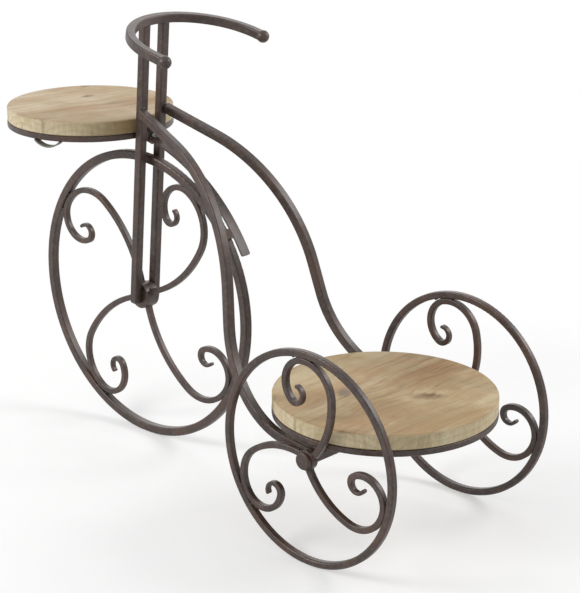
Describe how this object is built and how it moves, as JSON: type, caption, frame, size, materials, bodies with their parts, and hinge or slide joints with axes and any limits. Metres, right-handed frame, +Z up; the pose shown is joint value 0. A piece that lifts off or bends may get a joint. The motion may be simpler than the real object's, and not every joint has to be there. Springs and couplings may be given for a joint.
{
  "type": "tricycle plant stand",
  "caption": "Plant stand shaped like an old tricycle, with scroll-spoke wheels that turn, a bent bar frame, a curved handlebar and round wooden boards that carry flower pots.",
  "frame": {"origin": "on the ground, below the middle of the stand's box", "axes": "+X to the stand's rear, +Z up, the stand's left side at -Y"},
  "size_m": [0.8098, 0.3154, 0.6059],
  "materials": {
    "bronze_paint": "satin",
    "fir_wood": "matte",
    "bright_steel": "satin"
  },
  "bodies": {
    "frame": {"front_axle_pin": "bronze_paint", "front_board_ring": "bronze_paint", "front_board_screws": "bright_steel", "front_board_stave_1": "fir_wood", "front_board_stave_2": "fir_wood", "front_board_stave_3": "fir_wood", "front_ring_bolt": "bright_steel", "front_ring_bracket": "bronze_paint", "front_ring_loop": "bronze_paint", "front_ring_nut": "bright_steel", "front_ring_tabs": "bronze_paint", "handlebar": "bronze_paint", "left_axle_cap": "bronze_paint", "left_fork_post": "bronze_paint", "left_frame_bar": "bronze_paint", "left_grip_ball": "bronze_paint", "mudguard_stop": "bronze_paint", "mudguard_strip": "bronze_paint", "rear_axle": "bronze_paint", "rear_board_ring": "bronze_paint", "rear_board_screws": "bright_steel", "rear_board_stave_1": "fir_wood", "rear_board_stave_2": "fir_wood", "rear_board_stave_3": "fir_wood", "rear_ring_seats": "bronze_paint", "rear_ring_tabs": "bronze_paint", "right_axle_cap": "bronze_paint", "right_fork_post": "bronze_paint", "right_frame_bar": "bronze_paint", "right_grip_ball": "bronze_paint"},
    "front_wheel": {"front_hub": "bronze_paint", "front_rim": "bronze_paint", "front_scroll_1": "bronze_paint", "front_scroll_2": "bronze_paint", "front_scroll_3": "bronze_paint", "front_scroll_4": "bronze_paint"},
    "left_rear_wheel": {"left_rear_hub": "bronze_paint", "left_rear_rim": "bronze_paint", "left_rear_scroll_front": "bronze_paint", "left_rear_scroll_rear": "bronze_paint", "left_rear_scroll_top": "bronze_paint"},
    "right_rear_wheel": {"right_rear_hub": "bronze_paint", "right_rear_rim": "bronze_paint", "right_rear_scroll_front": "bronze_paint", "right_rear_scroll_rear": "bronze_paint", "right_rear_scroll_top": "bronze_paint"}
  },
  "joints": [
    {"name": "front_wheel_spin", "type": "hinge", "parent": "frame", "child": "front_wheel", "pos_m": [-0.1846, 0, 0.206], "axis": [0, 1, 0], "continuous": true},
    {"name": "left_rear_wheel_spin", "type": "hinge", "parent": "frame", "child": "left_rear_wheel", "pos_m": [0.2664, -0.147, 0.1385], "axis": [0, 1, 0], "continuous": true},
    {"name": "right_rear_wheel_spin", "type": "hinge", "parent": "frame", "child": "right_rear_wheel", "pos_m": [0.2664, 0.147, 0.1385], "axis": [0, 1, 0], "continuous": true}
  ]
}
